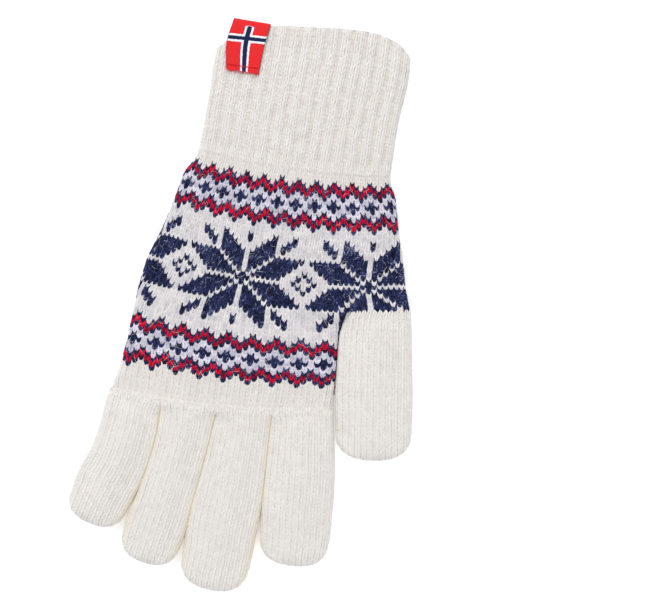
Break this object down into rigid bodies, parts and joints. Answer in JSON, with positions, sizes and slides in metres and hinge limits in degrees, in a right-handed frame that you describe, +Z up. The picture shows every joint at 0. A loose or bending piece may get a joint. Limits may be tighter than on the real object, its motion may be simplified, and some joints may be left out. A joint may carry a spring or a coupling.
{
  "type": "knit glove",
  "caption": "Knitted five-finger glove lying flat, with a ribbed cuff, a star-patterned hand and a woven tab folded over the rim.",
  "frame": {"origin": "centre of the bounding box's footprint, on the surface that the glove lies on", "axes": "+Y from the fingertips to the cuff, +X across the hand toward the thumb, +Z up out of the back of the hand"},
  "size_m": [0.138, 0.242, 0.0105],
  "materials": {
    "cream_rib": "soft cream yarn, two by one rib, slightly fuzzy",
    "patterned_knit": "stranded knit in white, navy and red yarn, slightly fuzzy",
    "cream_knit": "soft cream yarn, plain knit, slightly fuzzy",
    "woven_ribbon": "dense woven ribbon in red, white and navy, faint sheen"
  },
  "bodies": {
    "root": {"ribbed_cuff": "cream_rib", "hand": "patterned_knit", "thumb": "cream_knit", "index_finger": "cream_knit", "middle_finger": "cream_knit", "ring_finger": "cream_knit", "little_finger": "cream_knit", "woven_tab": "woven_ribbon"}
  },
  "joints": []
}
